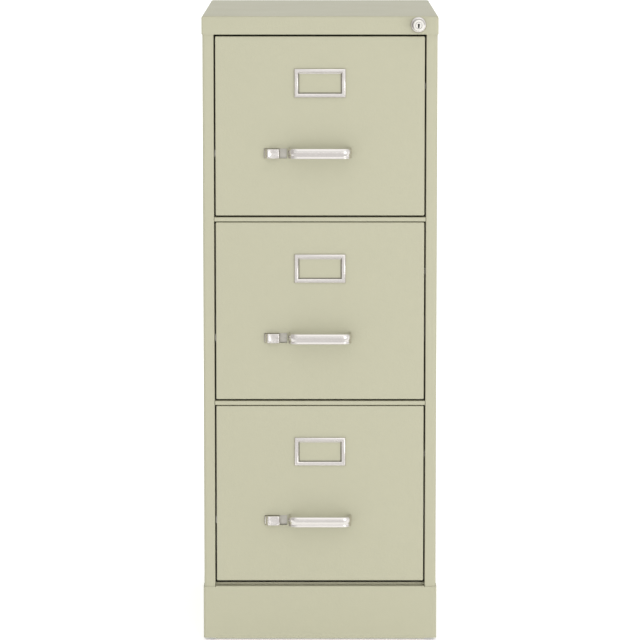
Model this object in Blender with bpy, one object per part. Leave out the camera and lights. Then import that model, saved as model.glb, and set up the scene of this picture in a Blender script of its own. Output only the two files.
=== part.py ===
"""Three-drawer letter-size metal filing cabinet, standing on the floor.

Units are metres. The front faces -Y, +X is to the right and +Z is up. The origin is on the
floor, at the middle of the footprint of the whole object, handles included.

The case is a folded steel shell: a top cap, two side panels with folded front stiles, a back,
a kick plate and a base pan on four glides, with four uprights that carry the slides. Each drawer
is a front pan with a liner, a high-sided tray, a label holder, a bail handle and a thumb latch,
and hangs on a pair of three-member telescopic slides. A push-in lock moves a vertical lock bar.
"""

import math

import bmesh
import bpy
from mathutils import Matrix, Vector

# Whole case
CASE_WIDTH = 0.3810
CASE_DEPTH = 0.5588
CASE_HEIGHT = 1.0208
SHEET = 0.0010
GAP = 0.0004
SEAT = 0.0003
DRAWER_COUNT = 3
SIDES = {"left": -1, "right": 1}

# Front layout
TOP_RAIL_HEIGHT = 0.0300
FRONT_HEIGHT = 0.2890
FRONT_GAP = 0.0028
RAIL_GAP = 0.0012
SIDE_GAP = 0.0024
CROSS_RAIL_HEIGHT = 0.0070
KICK_TOP = 0.0900
KICK_BOTTOM = 0.0025
OPENING_WIDTH = 0.3420
DRAWER_PITCH = FRONT_HEIGHT + FRONT_GAP + CROSS_RAIL_HEIGHT + RAIL_GAP

# Handle: a bail bent from a band with a lower lip
HANDLE_WIDTH = 0.1030
HANDLE_HEIGHT = 0.0165
HANDLE_REACH = 0.0320
HANDLE_BEND = 0.0140
HANDLE_DROP = 0.1866

# Label holder
LABEL_WIDTH = 0.0832
LABEL_HEIGHT = 0.0468
LABEL_DROP = 0.0750

# Thumb latch
LATCH_DROP = 0.1884
BUTTON_LEFT = -0.0898
BUTTON_RIGHT = -0.0655
BUTTON_HEIGHT = 0.0150
BUTTON_REACH = 0.0092
SLOT_RIGHT = -0.0535
LATCH_DEPTH = 0.0050
LATCH_BAR = 0.0016
TONGUE_TIP = -0.1700
HALF_TONGUE = 0.0055
APRON_LEFT = -0.0985
APRON_RIGHT = -0.0400
HALF_APRON = 0.0105

# Drawer tray and slides
FRONT_PAN_DEPTH = 0.0180
TRAY_LENGTH = 0.5090
TRAY_HALF_WIDTH = 0.1580
TRAY_FLOOR = 0.0080
TRAY_TOP_DROP = 0.0120
TRAY_BACK_DROP = 0.0300
SLIDE_RISE = 0.1100
SLIDE_SHEET = 0.0012

# Lock
LOCK_X = 0.1580
LOCK_DROP = 0.0143
LOCK_REACH = 0.0200
LOCK_TRAVEL = 0.0100
PLUNGER_RADIUS = 0.0092
FLANGE_RADIUS = 0.0127
PLUG_RADIUS = 0.0052
PIN_RADIUS = 0.0020
PIN_DROP = 0.0050
PIN_DEPTH = 0.0270
BARREL_RADIUS = 0.0106
BAR_X = 0.1736
BAR_SHEET = 0.0016
TAB_REACH = 0.0069
CATCH_RISE = 0.1900
CATCH_HEIGHT = 0.0100
CATCH_DEPTH = 0.0280

# Uprights, base and glides
UPRIGHT_FACE_X = 0.1711
UPRIGHT_SKIN_X = 0.1862
UPRIGHT_WIDTH = 0.0300
BASE_UNDERSIDE = 0.0060
GLIDE_RADIUS = 0.0150
GLIDE_STUD = 0.0040

# Folds of the case's sheets
CAP_FOLD = 0.0035
UNDER_CAP = CASE_HEIGHT - CAP_FOLD - SHEET
WIDE_FOLD = 0.0042
PAN_FOLD = 0.0018
EDGE_FOLD = 0.0014

# Derived places
FRONT_Y = -(CASE_DEPTH + HANDLE_REACH) / 2 + HANDLE_REACH
BACK_Y = FRONT_Y + CASE_DEPTH
STILE_Y = FRONT_Y + SHEET + SEAT
BACK_SKIN_Y = BACK_Y - SHEET - SEAT
FACE_Y = 0.0010
HALF_OPENING = OPENING_WIDTH / 2
HALF_CASE = CASE_WIDTH / 2
HALF_FRONT = HALF_OPENING - SIDE_GAP
SKIN_X = HALF_CASE - SHEET - SEAT
LOCK_Z = CASE_HEIGHT - LOCK_DROP

FINISHES = {
    "paint": ((0.565, 0.552, 0.425, 1.0), 0.45, 0.0),
    "chrome": ((0.80, 0.79, 0.80, 1.0), 0.22, 1.0),
    "zinc": ((0.62, 0.61, 0.58, 1.0), 0.38, 1.0),
    "nylon": ((0.03, 0.03, 0.03, 1.0), 0.60, 0.0),
}


def drawer_top(index):
    """Height of the top edge of a drawer front, counted from the top drawer."""
    return CASE_HEIGHT - TOP_RAIL_HEIGHT - FRONT_GAP - index * DRAWER_PITCH


def clear_scene():
    for old in list(bpy.data.objects):
        bpy.data.objects.remove(old, do_unlink=True)


def add_object(name, mesh, finish):
    """Link a mesh as a named object with its own Principled material."""
    obj = bpy.data.objects.new(name, mesh)
    bpy.context.scene.collection.objects.link(obj)
    color, roughness, metallic = FINISHES[finish]
    material = bpy.data.materials.new(name)
    material.use_nodes = True
    shader = material.node_tree.nodes["Principled BSDF"]
    shader.inputs["Base Color"].default_value = color
    shader.inputs["Roughness"].default_value = roughness
    shader.inputs["Metallic"].default_value = metallic
    if not mesh.materials:
        mesh.materials.append(None)
    obj.material_slots[0].link = "OBJECT"
    obj.material_slots[0].material = material
    return obj


def mesh_from(bm, name):
    """Close a bmesh with outward faces and return it as a mesh."""
    bmesh.ops.recalc_face_normals(bm, faces=bm.faces)
    mesh = bpy.data.meshes.new(name)
    bm.to_mesh(mesh)
    bm.free()
    return mesh


def scratch(mesh):
    """A temporary object that a Boolean or a Bevel works on."""
    obj = bpy.data.objects.new(mesh.name, mesh)
    bpy.context.scene.collection.objects.link(obj)
    return obj


def evaluated(obj):
    """The mesh of a temporary object with its modifiers applied."""
    depsgraph = bpy.context.evaluated_depsgraph_get()
    result = bpy.data.meshes.new_from_object(obj.evaluated_get(depsgraph))
    result.name = obj.name
    return result


def boolean(mesh, tools, operation):
    """Cut or join a list of tool meshes with a mesh and return the result."""
    for tool in tools:
        body = scratch(mesh)
        other = scratch(tool)
        modifier = body.modifiers.new("boolean", "BOOLEAN")
        modifier.operation = operation
        modifier.solver = "EXACT"
        modifier.object = other
        mesh = evaluated(body)
        bpy.data.objects.remove(body)
        bpy.data.objects.remove(other)
    return mesh


def cut(mesh, *tools):
    return boolean(mesh, tools, "DIFFERENCE")


def join(mesh, *tools):
    return boolean(mesh, tools, "UNION")


def shaded(mesh, angle=math.radians(32)):
    """Smooth the round parts and keep the folds crisp."""
    mesh.shade_smooth()
    mesh.set_sharp_from_angle(angle=angle)
    return mesh


def block(name, low, high, radius=0.0, segments=2):
    """A rectangular block between two corners, with its edges rounded."""
    bm = bmesh.new()
    bmesh.ops.create_cube(bm, size=1.0)
    low = Vector(low)
    high = Vector(high)
    for vert in bm.verts:
        for axis in range(3):
            vert.co[axis] = high[axis] if vert.co[axis] > 0 else low[axis]
    if radius:
        bmesh.ops.bevel(bm, geom=bm.edges, offset=radius, segments=segments, profile=0.5,
                        affect="EDGES", clamp_overlap=True)
    return mesh_from(bm, name)


def pan(name, low, high, open_side, radius, sheet=SHEET, segments=3):
    """A folded sheet pan: five walls of a box, open on one side, with rounded folds."""
    bm = bmesh.new()
    bmesh.ops.create_cube(bm, size=1.0)
    low = Vector(low)
    high = Vector(high)
    outward = Vector(open_side)
    open_faces = [face for face in bm.faces if face.normal.dot(outward) > 0.9]
    bmesh.ops.delete(bm, geom=open_faces, context="FACES_ONLY")
    for vert in bm.verts:
        for axis in range(3):
            vert.co[axis] = high[axis] if vert.co[axis] > 0 else low[axis]
    folds = [edge for edge in bm.edges if not edge.is_boundary]
    bmesh.ops.bevel(bm, geom=folds, offset=radius, segments=segments, profile=0.5,
                    affect="EDGES", clamp_overlap=True)
    mesh = bpy.data.meshes.new(name)
    bm.to_mesh(mesh)
    bm.free()
    skin = scratch(mesh)
    wall = skin.modifiers.new("sheet", "SOLIDIFY")
    wall.thickness = sheet
    wall.offset = -1.0
    wall.use_even_offset = True
    result = evaluated(skin)
    bpy.data.objects.remove(skin)
    return result


def rounded_path(corners, radii, steps=4):
    """Points of a path whose inner corners are arcs, each with the sheet's direction there."""
    corners = [Vector(corner) for corner in corners]
    points = [(corners[0], (corners[1] - corners[0]).normalized())]
    for before, here, after, radius in zip(corners, corners[1:], corners[2:], radii):
        heading = (here - before).normalized()
        leaving = (after - here).normalized()
        turn = math.atan2(heading.x * leaving.y - heading.y * leaving.x, heading.dot(leaving))
        start = here - heading * radius * math.tan(abs(turn) / 2)
        to_centre = Vector((-heading.y, heading.x)) * math.copysign(radius, turn)
        for step in range(steps + 1):
            spin = Matrix.Rotation(turn * step / steps, 2)
            points.append((start + to_centre - spin @ to_centre, spin @ heading))
    points.append((corners[-1], (corners[-1] - corners[-2]).normalized()))
    return points


def place_in_plane(plane, flat, along):
    """A 3D point from a point in a section plane and the distance along its normal."""
    if plane == "XY":
        return (flat.x, flat.y, along)
    if plane == "XZ":
        return (flat.x, along, flat.y)
    return (along, flat.x, flat.y)


def folded(name, plane, corners, radii, start, end, sheet=SHEET):
    """A folded strip: a centre line in one plane, given the sheet's thickness, then extruded."""
    bm = bmesh.new()
    rings = []
    for point, heading in rounded_path(corners, radii):
        offset = Vector((-heading.y, heading.x)) * sheet / 2
        ring = [(point + offset, start), (point - offset, start),
                (point - offset, end), (point + offset, end)]
        rings.append([bm.verts.new(place_in_plane(plane, flat, along)) for flat, along in ring])
    for near, far in zip(rings, rings[1:]):
        for side in range(4):
            after = (side + 1) % 4
            bm.faces.new((near[side], near[after], far[after], far[side]))
    bm.faces.new(rings[0])
    bm.faces.new(reversed(rings[-1]))
    return mesh_from(bm, name)


def prism(name, plane, outline, start, end, radius=0.0, segments=2):
    """A flat outline extruded along its plane's normal, with its edges rounded."""
    bm = bmesh.new()
    flats = [Vector(point) for point in outline]
    near = [bm.verts.new(place_in_plane(plane, flat, start)) for flat in flats]
    far = [bm.verts.new(place_in_plane(plane, flat, end)) for flat in flats]
    bm.faces.new(near)
    bm.faces.new(reversed(far))
    for index in range(len(flats)):
        after = (index + 1) % len(flats)
        bm.faces.new((near[index], near[after], far[after], far[index]))
    bmesh.ops.recalc_face_normals(bm, faces=bm.faces)
    if radius:
        bmesh.ops.bevel(bm, geom=bm.edges, offset=radius, segments=segments, profile=0.5,
                        affect="EDGES", clamp_overlap=True)
    return mesh_from(bm, name)


def turned(name, profile, centre, axis="Y", segments=32):
    """A turned solid: (radius, distance) points spun about an axis through a centre."""
    bm = bmesh.new()
    turn_axis = Vector((0, 1, 0)) if axis == "Y" else Vector((0, 0, 1))
    spoke = Vector((1, 0, 0))
    centre = Vector(centre)
    rings = []
    for radius, distance in profile:
        middle = centre + turn_axis * distance
        if radius == 0:
            rings.append([bm.verts.new(middle)])
            continue
        ring = []
        for step in range(segments):
            spin = Matrix.Rotation(2 * math.pi * step / segments, 3, turn_axis)
            ring.append(bm.verts.new(middle + spin @ spoke * radius))
        rings.append(ring)
    pairs = list(zip(rings, rings[1:]))
    if len(rings[0]) > 1:
        pairs.append((rings[-1], rings[0]))
    for near, far in pairs:
        for step in range(segments):
            after = (step + 1) % segments
            corners = [near[step % len(near)], near[after % len(near)],
                       far[after % len(far)], far[step % len(far)]]
            bm.faces.new(dict.fromkeys(corners))
    return mesh_from(bm, name)


def drill(radius, centre, axis):
    """A cylinder that cuts a round hole through one sheet."""
    reach = 5 * SHEET
    return turned("hole", [(0, -reach), (radius, -reach), (radius, reach), (0, reach)], centre,
                  axis=axis, segments=24)


def frame_ring(name, width, height, profile, back_y, centre_z):
    """A mitred rectangular frame from (inset, rise) points of its moulding."""
    bm = bmesh.new()
    loops = []
    for inset, rise in profile:
        half_x = width / 2 - inset
        half_z = height / 2 - inset
        corners = [(-half_x, -half_z), (half_x, -half_z), (half_x, half_z), (-half_x, half_z)]
        loops.append([bm.verts.new((x, back_y - rise, centre_z + z)) for x, z in corners])
    for index, loop in enumerate(loops):
        inner = loops[(index + 1) % len(loops)]
        for side in range(4):
            after = (side + 1) % 4
            bm.faces.new((loop[side], loop[after], inner[after], inner[side]))
    return mesh_from(bm, name)


def stadium(first, second, radius, steps=6):
    """Outline of a slot between two points, with round ends."""
    first = Vector(first)
    second = Vector(second)
    heading = (second - first).normalized()
    side = Vector((-heading.y, heading.x)) * radius
    outline = []
    for centre, base in ((first, side), (second, -side)):
        for step in range(steps + 1):
            outline.append(centre + Matrix.Rotation(math.pi * step / steps, 2) @ base)
    return outline


# ---------------------------------------------------------------- case

def side_panel(side):
    """Skin with a folded front stile, its return lip and a back flange."""
    sign = SIDES[side]
    centre = SHEET / 2
    lip_x = HALF_OPENING + centre
    skin_x = SKIN_X - centre
    lip_depth = 0.0160
    back_flange = 0.0140
    flange_y = BACK_SKIN_Y - SHEET - SEAT - centre
    corners = [
        (sign * lip_x, STILE_Y + lip_depth),
        (sign * lip_x, STILE_Y + centre),
        (sign * skin_x, STILE_Y + centre),
        (sign * skin_x, flange_y),
        (sign * (skin_x - back_flange), flange_y),
    ]
    low_edge = 0.0035
    mesh = folded(side, "XY", corners, (EDGE_FOLD, WIDE_FOLD, WIDE_FOLD), low_edge, UNDER_CAP)
    if side == "left":
        strikes = [strike_cutter(index) for index in range(DRAWER_COUNT)]
        mesh = cut(mesh, *strikes)
    add_object(f"{side}_side_panel", shaded(mesh), "paint")


def strike_cutter(index):
    """Slot in the left stile's lip for one drawer's latch tongue."""
    middle = drawer_top(index) - LATCH_DROP
    half_height = HALF_TONGUE + 0.0017
    near = FRONT_Y + LATCH_DEPTH - 0.0012
    far = FRONT_Y + LATCH_DEPTH + LATCH_BAR + 0.0014
    through = 2 * SHEET
    return block("strike", (-HALF_OPENING - through, near, middle - half_height),
                 (-HALF_OPENING + through, far, middle + half_height))


def top_cap():
    """Top sheet folded down on all sides; its front fold is the top rail, with a return lip."""
    half_lip = HALF_OPENING - 2 * SEAT
    bottom = CASE_HEIGHT - TOP_RAIL_HEIGHT
    mesh = pan("cap", (-HALF_CASE, FRONT_Y, bottom), (HALF_CASE, BACK_Y, CASE_HEIGHT),
               (0, 0, -1), CAP_FOLD)
    lip_depth = 0.0130
    notch_height = 0.0030
    rail_middle = FRONT_Y + SHEET / 2
    notch = block("notch", (-half_lip, FRONT_Y - SHEET, bottom - SHEET),
                  (half_lip, FRONT_Y + 2 * SHEET, bottom + notch_height))
    lip = folded("lip", "YZ", [(rail_middle, bottom + 2 * notch_height),
                               (rail_middle, bottom + SHEET / 2),
                               (FRONT_Y + lip_depth, bottom + SHEET / 2)], (EDGE_FOLD,),
                 -half_lip, half_lip)
    lock_hole = drill(BARREL_RADIUS + GAP, (LOCK_X, FRONT_Y, LOCK_Z), "Y")
    mesh = join(cut(mesh, notch), lip)
    add_object("top_cap", shaded(cut(mesh, lock_hole)), "paint")


def back_panel():
    """Flat sheet across the flanges of the side panels."""
    half_width = SKIN_X - 0.0030
    low_edge = 0.0040
    mesh = block("back", (-half_width, BACK_SKIN_Y - SHEET, low_edge),
                 (half_width, BACK_SKIN_Y, UNDER_CAP))
    add_object("back_panel", mesh, "paint")


def kick_plate():
    """Base plate that wraps round both stiles, with a stepped ledge on top and a hem below."""
    half_ledge = HALF_OPENING - 2 * SEAT
    plate_middle = FRONT_Y + SHEET / 2
    overlap = 0.0015
    ledge_depth = 0.0140
    step_height = 0.0040
    hem_depth = 0.0120
    wrap_depth = 0.0300
    end_trim = 0.0012
    mesh = folded("kick", "YZ", [
        (FRONT_Y + ledge_depth, KICK_TOP + step_height),
        (FRONT_Y + ledge_depth, KICK_TOP - SHEET / 2),
        (plate_middle, KICK_TOP - SHEET / 2),
        (plate_middle, KICK_BOTTOM + SHEET / 2),
        (FRONT_Y + hem_depth, KICK_BOTTOM + SHEET / 2),
    ], (EDGE_FOLD,) * 3, -half_ledge, half_ledge)
    for sign in SIDES.values():
        wrap_x = sign * (HALF_CASE - SHEET / 2)
        corner = folded("corner", "XY", [
            (wrap_x, FRONT_Y + wrap_depth),
            (wrap_x, plate_middle),
            (sign * (half_ledge - overlap), plate_middle),
        ], (WIDE_FOLD,), KICK_BOTTOM + end_trim, KICK_TOP - end_trim)
        mesh = join(mesh, corner)
    add_object("kick_plate", shaded(mesh), "paint")


def base_pan():
    """Floor of the case, folded up on all sides, with a hole for each glide."""
    half_width = SKIN_X - SHEET - GAP
    near = FRONT_Y + 0.0190
    far = BACK_SKIN_Y - 2 * SHEET - 3 * GAP
    rim = BASE_UNDERSIDE + 0.0250
    mesh = pan("base", (-half_width, near, BASE_UNDERSIDE), (half_width, far, rim), (0, 0, 1),
               PAN_FOLD)
    holes = [drill(GLIDE_STUD + GAP, (x, y, BASE_UNDERSIDE), "Z") for _, x, y in glide_places()]
    add_object("base_pan", shaded(cut(mesh, *holes)), "paint")


def glide_places():
    """Name and floor position of each of the four glides."""
    inset = 0.0280
    for row, y in (("front", FRONT_Y + 0.0500), ("rear", BACK_Y - 0.0400)):
        for side, sign in SIDES.items():
            yield f"glide_{row}_{side}", sign * (HALF_CASE - inset), y


def glide(name, x, y):
    """Round foot pad on a threaded stud with its nut above the base pan."""
    pad_top = BASE_UNDERSIDE - SEAT
    nut_low = BASE_UNDERSIDE + SHEET + SEAT
    nut_high = nut_low + 0.0060
    nut_radius = 0.0075
    stud_top = 0.0280
    rounding = 0.0014
    mesh = turned(name, [
        (0, 0), (GLIDE_RADIUS - rounding, 0), (GLIDE_RADIUS, rounding),
        (GLIDE_RADIUS, pad_top - rounding), (GLIDE_RADIUS - rounding, pad_top),
        (GLIDE_STUD, pad_top), (GLIDE_STUD, nut_low), (nut_radius, nut_low),
        (nut_radius, nut_high), (GLIDE_STUD, nut_high), (GLIDE_STUD, stud_top), (0, stud_top),
    ], (x, y, 0), axis="Z", segments=24)
    add_object(name, shaded(mesh), "nylon")


def upright(row, side):
    """Channel between the base pan and the cap that carries the slides on one side."""
    sign = SIDES[side]
    near = FRONT_Y + 0.0460 if row == "front" else BACK_Y - 0.0450 - UPRIGHT_WIDTH
    web_x = sign * (UPRIGHT_FACE_X + SHEET / 2)
    corners = [
        (sign * UPRIGHT_SKIN_X, near),
        (web_x, near),
        (web_x, near + UPRIGHT_WIDTH),
        (sign * UPRIGHT_SKIN_X, near + UPRIGHT_WIDTH),
    ]
    mesh = folded("upright", "XY", corners, (EDGE_FOLD, EDGE_FOLD),
                  BASE_UNDERSIDE + SHEET + SEAT, UNDER_CAP)
    add_object(f"upright_{row}_{side}", shaded(mesh), "paint")


def cross_rail(index):
    """Thin folded rail across the opening below one drawer front."""
    high = drawer_top(index) - FRONT_HEIGHT - FRONT_GAP
    low = high - CROSS_RAIL_HEIGHT
    depth = 0.0220
    middle = STILE_Y + SHEET / 2
    corners = [
        (FRONT_Y + depth, high - SHEET / 2),
        (middle, high - SHEET / 2),
        (middle, low + SHEET / 2),
        (FRONT_Y + depth, low + SHEET / 2),
    ]
    tight_fold = 0.0011
    mesh = folded("rail", "YZ", corners, (tight_fold, tight_fold), -HALF_OPENING + GAP,
                  HALF_OPENING - GAP)
    add_object(f"cross_rail_{index + 1}", shaded(mesh), "paint")


# ---------------------------------------------------------------- slides

def slide_channel(name, tip, web, half_height, y_range, side):
    """One member of a slide: a channel given by its distances from the upright's face."""
    sign = SIDES[side]
    root = HALF_OPENING - 0.0002
    roll = 0.0018
    corners = [
        (sign * (root - tip), half_height),
        (sign * (root - web), half_height),
        (sign * (root - web), -half_height),
        (sign * (root - tip), -half_height),
    ]
    mesh = folded(name, "XZ", corners, (roll, roll), y_range[0], y_range[1], sheet=SLIDE_SHEET)
    return shaded(mesh)


def slide_meshes(side):
    """The three members of one slide, in the drawer's frame."""
    case_member = slide_channel("case_slide", 0.0092, 0.0006, 0.0217, (0.0400, 0.5400), side)
    mid_member = slide_channel("mid_slide", 0.0106, 0.0030, 0.0168, (0.0440, 0.5360), side)
    drawer_member = slide_channel("drawer_slide", 0.0058, 0.0118, 0.0118, (0.0210, 0.5300), side)
    return case_member, mid_member, drawer_member


# ---------------------------------------------------------------- drawer
# Drawer pieces are modelled in the drawer's own frame: y = 0 at the case's front plane, and
# z = 0 at the top edge of the drawer front.

def front_pan():
    """Outer drawer front, folded back on four sides, cut for the latch."""
    mesh = pan("drawer_front", (-HALF_FRONT, FACE_Y, -FRONT_HEIGHT),
               (HALF_FRONT, FACE_Y + FRONT_PAN_DEPTH, 0), (0, 1, 0), PAN_FOLD)
    half_slot = BUTTON_HEIGHT / 2 + GAP
    half_notch = HALF_TONGUE + 2 * GAP
    through = 4 * SHEET
    slot = block("slot", (BUTTON_LEFT - GAP, -through, -LATCH_DROP - half_slot),
                 (SLOT_RIGHT, through, -LATCH_DROP + half_slot))
    notch = block("notch", (-HALF_FRONT - through, LATCH_DEPTH - 2 * GAP, -LATCH_DROP - half_notch),
                  (-HALF_FRONT + through, LATCH_DEPTH + LATCH_BAR + 2 * GAP,
                   -LATCH_DROP + half_notch))
    return shaded(cut(mesh, slot, notch))


def liner():
    """Inner pan that closes the back of the drawer front."""
    half_width = HALF_FRONT - SHEET - GAP
    edge = SHEET + GAP
    rim = 0.0110
    thin_sheet = 0.0008
    mesh = pan("drawer_liner", (-half_width, rim, -FRONT_HEIGHT + edge),
               (half_width, FACE_Y + FRONT_PAN_DEPTH - 0.0002, -edge), (0, -1, 0), EDGE_FOLD,
               sheet=thin_sheet)
    return shaded(mesh)


def tray():
    """High-sided tray: floor, two walls with rolled top edges, a back and the lock catch."""
    wall = TRAY_HALF_WIDTH - SHEET / 2
    roll_width = 0.0050
    roll = wall + roll_width
    floor = -FRONT_HEIGHT + TRAY_FLOOR + SHEET / 2
    top = -TRAY_TOP_DROP - SHEET / 2
    roll_end = top - 0.0075
    near = FACE_Y + FRONT_PAN_DEPTH + 0.0002
    far = near + TRAY_LENGTH
    corners = [(-roll, roll_end), (-roll, top), (-wall, top), (-wall, floor),
               (wall, floor), (wall, top), (roll, top), (roll, roll_end)]
    mesh = folded("drawer_tray", "XZ", corners, (EDGE_FOLD,) * 6, near, far)
    inside = wall - SHEET / 2 + 0.0002
    back_y = far - SHEET / 2
    back = block("back", (-inside, back_y - SHEET, floor), (inside, back_y, -TRAY_BACK_DROP))
    catch_low = -FRONT_HEIGHT + CATCH_RISE
    catch_far = CATCH_DEPTH + 0.0080
    catch = block("catch", (wall, CATCH_DEPTH, catch_low),
                  (BAR_X - TAB_REACH + 0.0018, catch_far, catch_low + CATCH_HEIGHT))
    return shaded(join(mesh, back, catch))


def label_holder():
    """Moulded frame with a convex face and an open window."""
    moulding = [(0.0, 0.0), (0.0, 0.0014), (0.0008, 0.0026), (0.0022, 0.0033),
                (0.0050, 0.0033), (0.0064, 0.0026), (0.0070, 0.0012), (0.0086, 0.0009),
                (0.0086, 0.0)]
    mesh = frame_ring("label_holder", LABEL_WIDTH, LABEL_HEIGHT, moulding, FACE_Y - SEAT,
                      -LABEL_DROP)
    return shaded(mesh, math.radians(28))


def handle():
    """Bail bent from a band: convex above, hollow below, with a rounded lower lip."""
    half = HANDLE_HEIGHT / 2
    band = 0.0026
    section = [
        (0.0002, half), (0.0012, half - 0.0006), (0.0022, half - 0.0024),
        (0.0026, half - 0.0052), (0.0024, half - 0.0084), (0.0014, half - 0.0112),
        (0.0012, half - 0.0130), (0.0022, -half + 0.0022), (0.0024, -half + 0.0010),
        (0.0016, -half), (0.0004, -half), (-0.0002, -half + 0.0014),
        (-0.0006, half - 0.0112), (-0.0002, half - 0.0052), (-0.0006, half - 0.0008),
    ]
    front = -HANDLE_REACH + band
    foot = FACE_Y - SEAT
    reach = HANDLE_WIDTH / 2 - band
    corners = [(-reach, foot), (-reach, front), (reach, front), (reach, foot)]
    bm = bmesh.new()
    rings = []
    for point, heading in rounded_path(corners, (HANDLE_BEND, HANDLE_BEND), steps=8):
        outward = Vector((heading.y, -heading.x))
        ring = []
        for lift, z in section:
            place = point + outward * lift
            ring.append(bm.verts.new((place.x, place.y, -HANDLE_DROP + z)))
        rings.append(ring)
    for near, far in zip(rings, rings[1:]):
        for side in range(len(section)):
            after = (side + 1) % len(section)
            bm.faces.new((near[side], near[after], far[after], far[side]))
    bm.faces.new(rings[0])
    bm.faces.new(reversed(rings[-1]))
    return shaded(mesh_from(bm, "handle"), math.radians(40))


def latch_button():
    """Thumb button with a sloped left side and a hollowed face."""
    root = LATCH_DEPTH - GAP
    slope_foot = -0.0008
    shape = [(0.0052, 0.0010), (0.0070, 0.0), (0.0105, 0.0006), (0.0145, 0.0010),
             (0.0190, 0.0006), (0.0222, 0.0)]
    outline = [(BUTTON_LEFT, root), (BUTTON_LEFT, slope_foot)]
    outline += [(BUTTON_LEFT + across, sunk - BUTTON_REACH) for across, sunk in shape]
    outline += [(BUTTON_RIGHT, 0.0012 - BUTTON_REACH), (BUTTON_RIGHT, root)]
    half = BUTTON_HEIGHT / 2
    rounding = 0.0006
    mesh = prism("latch_button", "XY", outline, -LATCH_DROP - half, -LATCH_DROP + half, rounding)
    return shaded(mesh, math.radians(50))


def latch_bar():
    """Flat bar behind the drawer front: an apron behind the slot and a tongue to the left."""
    outline = [
        (TONGUE_TIP, HALF_TONGUE), (TONGUE_TIP, -HALF_TONGUE), (APRON_LEFT, -HALF_TONGUE),
        (APRON_LEFT, -HALF_APRON), (APRON_RIGHT, -HALF_APRON), (APRON_RIGHT, HALF_APRON),
        (APRON_LEFT, HALF_APRON), (APRON_LEFT, HALF_TONGUE),
    ]
    outline = [(x, z - LATCH_DROP) for x, z in outline]
    return prism("latch_bar", "XZ", outline, LATCH_DEPTH, LATCH_DEPTH + LATCH_BAR)


def empty_at(name, place):
    """An empty on a moving body's axis, for its pieces to hang on."""
    holder = bpy.data.objects.new(name, None)
    holder.location = place
    bpy.context.scene.collection.objects.link(holder)
    return holder


def hang(name, mesh, finish, holder):
    obj = add_object(name, mesh, finish)
    obj.parent = holder
    return obj


def drawers():
    """Build the drawer's pieces once and hang a copy of each in every opening."""
    pieces = {
        "drawer_front": (front_pan(), "paint"),
        "drawer_liner": (liner(), "paint"),
        "drawer_tray": (tray(), "paint"),
        "label_holder": (label_holder(), "chrome"),
        "handle": (handle(), "chrome"),
    }
    latch = {
        "latch_button": (latch_button(), "chrome"),
        "latch_bar": (latch_bar(), "zinc"),
    }
    slides = {side: slide_meshes(side) for side in SIDES}
    for index in range(DRAWER_COUNT):
        number = index + 1
        place = Vector((0, FRONT_Y, drawer_top(index)))
        slide_place = place + Vector((0, 0, SLIDE_RISE - FRONT_HEIGHT))
        drawer = empty_at(f"drawer_{number}_axis", place)
        runner = empty_at(f"drawer_{number}_slide_axis", slide_place)
        for name, (mesh, finish) in {**pieces, **latch}.items():
            hang(f"{name}_{number}", mesh, finish, drawer)
        for side, (case_member, mid_member, drawer_member) in slides.items():
            hang(f"case_slide_{side}_{number}", case_member, "zinc", runner)
            hang(f"mid_slide_{side}_{number}", mid_member, "zinc", runner)
            hang(f"drawer_slide_{side}_{number}", drawer_member, "zinc", runner)


# ---------------------------------------------------------------- lock
# Lock pieces are modelled about the lock's axis: y = 0 at the case's front plane.

def lock_housing():
    """Barrel in the top rail with a sloped flange."""
    bore = PLUNGER_RADIUS + SEAT
    rise = -0.0038
    rear = 0.0210
    mesh = turned("lock_housing", [
        (bore, rise), (FLANGE_RADIUS - 0.0026, rise), (FLANGE_RADIUS - 0.0008, -0.0024),
        (FLANGE_RADIUS, -0.0010), (FLANGE_RADIUS, -SEAT), (BARREL_RADIUS, -SEAT),
        (BARREL_RADIUS, rear), (bore, rear),
    ], (0, 0, 0), segments=40)
    return shaded(mesh)


def lock_plunger():
    """Push-in cylinder with a bore for the key plug and a cross pin that works the bar."""
    rear = 0.0320
    bore = PLUG_RADIUS + SEAT
    bore_end = -0.0020
    rounding = 0.0012
    mesh = turned("lock_plunger", [
        (0, bore_end), (bore, bore_end), (bore, -LOCK_REACH),
        (PLUNGER_RADIUS - rounding, -LOCK_REACH), (PLUNGER_RADIUS, -LOCK_REACH + rounding),
        (PLUNGER_RADIUS, rear), (0, rear),
    ], (0, 0, 0), segments=40)
    past_bar = 0.0025
    pin_end = BAR_X + BAR_SHEET + past_bar - LOCK_X
    circle = [(PIN_DEPTH + PIN_RADIUS * math.cos(math.tau * step / 12),
               -PIN_DROP + PIN_RADIUS * math.sin(math.tau * step / 12)) for step in range(12)]
    pin = prism("pin", "YZ", circle, 0.0, pin_end)
    return shaded(join(mesh, pin))


def key_plug():
    """Turning core with a tapered keyway."""
    inner_end = -0.0024
    face = -LOCK_REACH - SEAT
    mesh = turned("lock_key_plug", [(0, inner_end), (PLUG_RADIUS, inner_end),
                                    (PLUG_RADIUS, face), (0, face)], (0, 0, 0))
    wedge = [(-0.0015, 0.0027), (0.0015, 0.0027), (0.0006, -0.0045), (-0.0006, -0.0045)]
    keyway_end = -0.0080
    keyway = prism("keyway", "XZ", wedge, face - SHEET, keyway_end)
    return shaded(cut(mesh, keyway))


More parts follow.
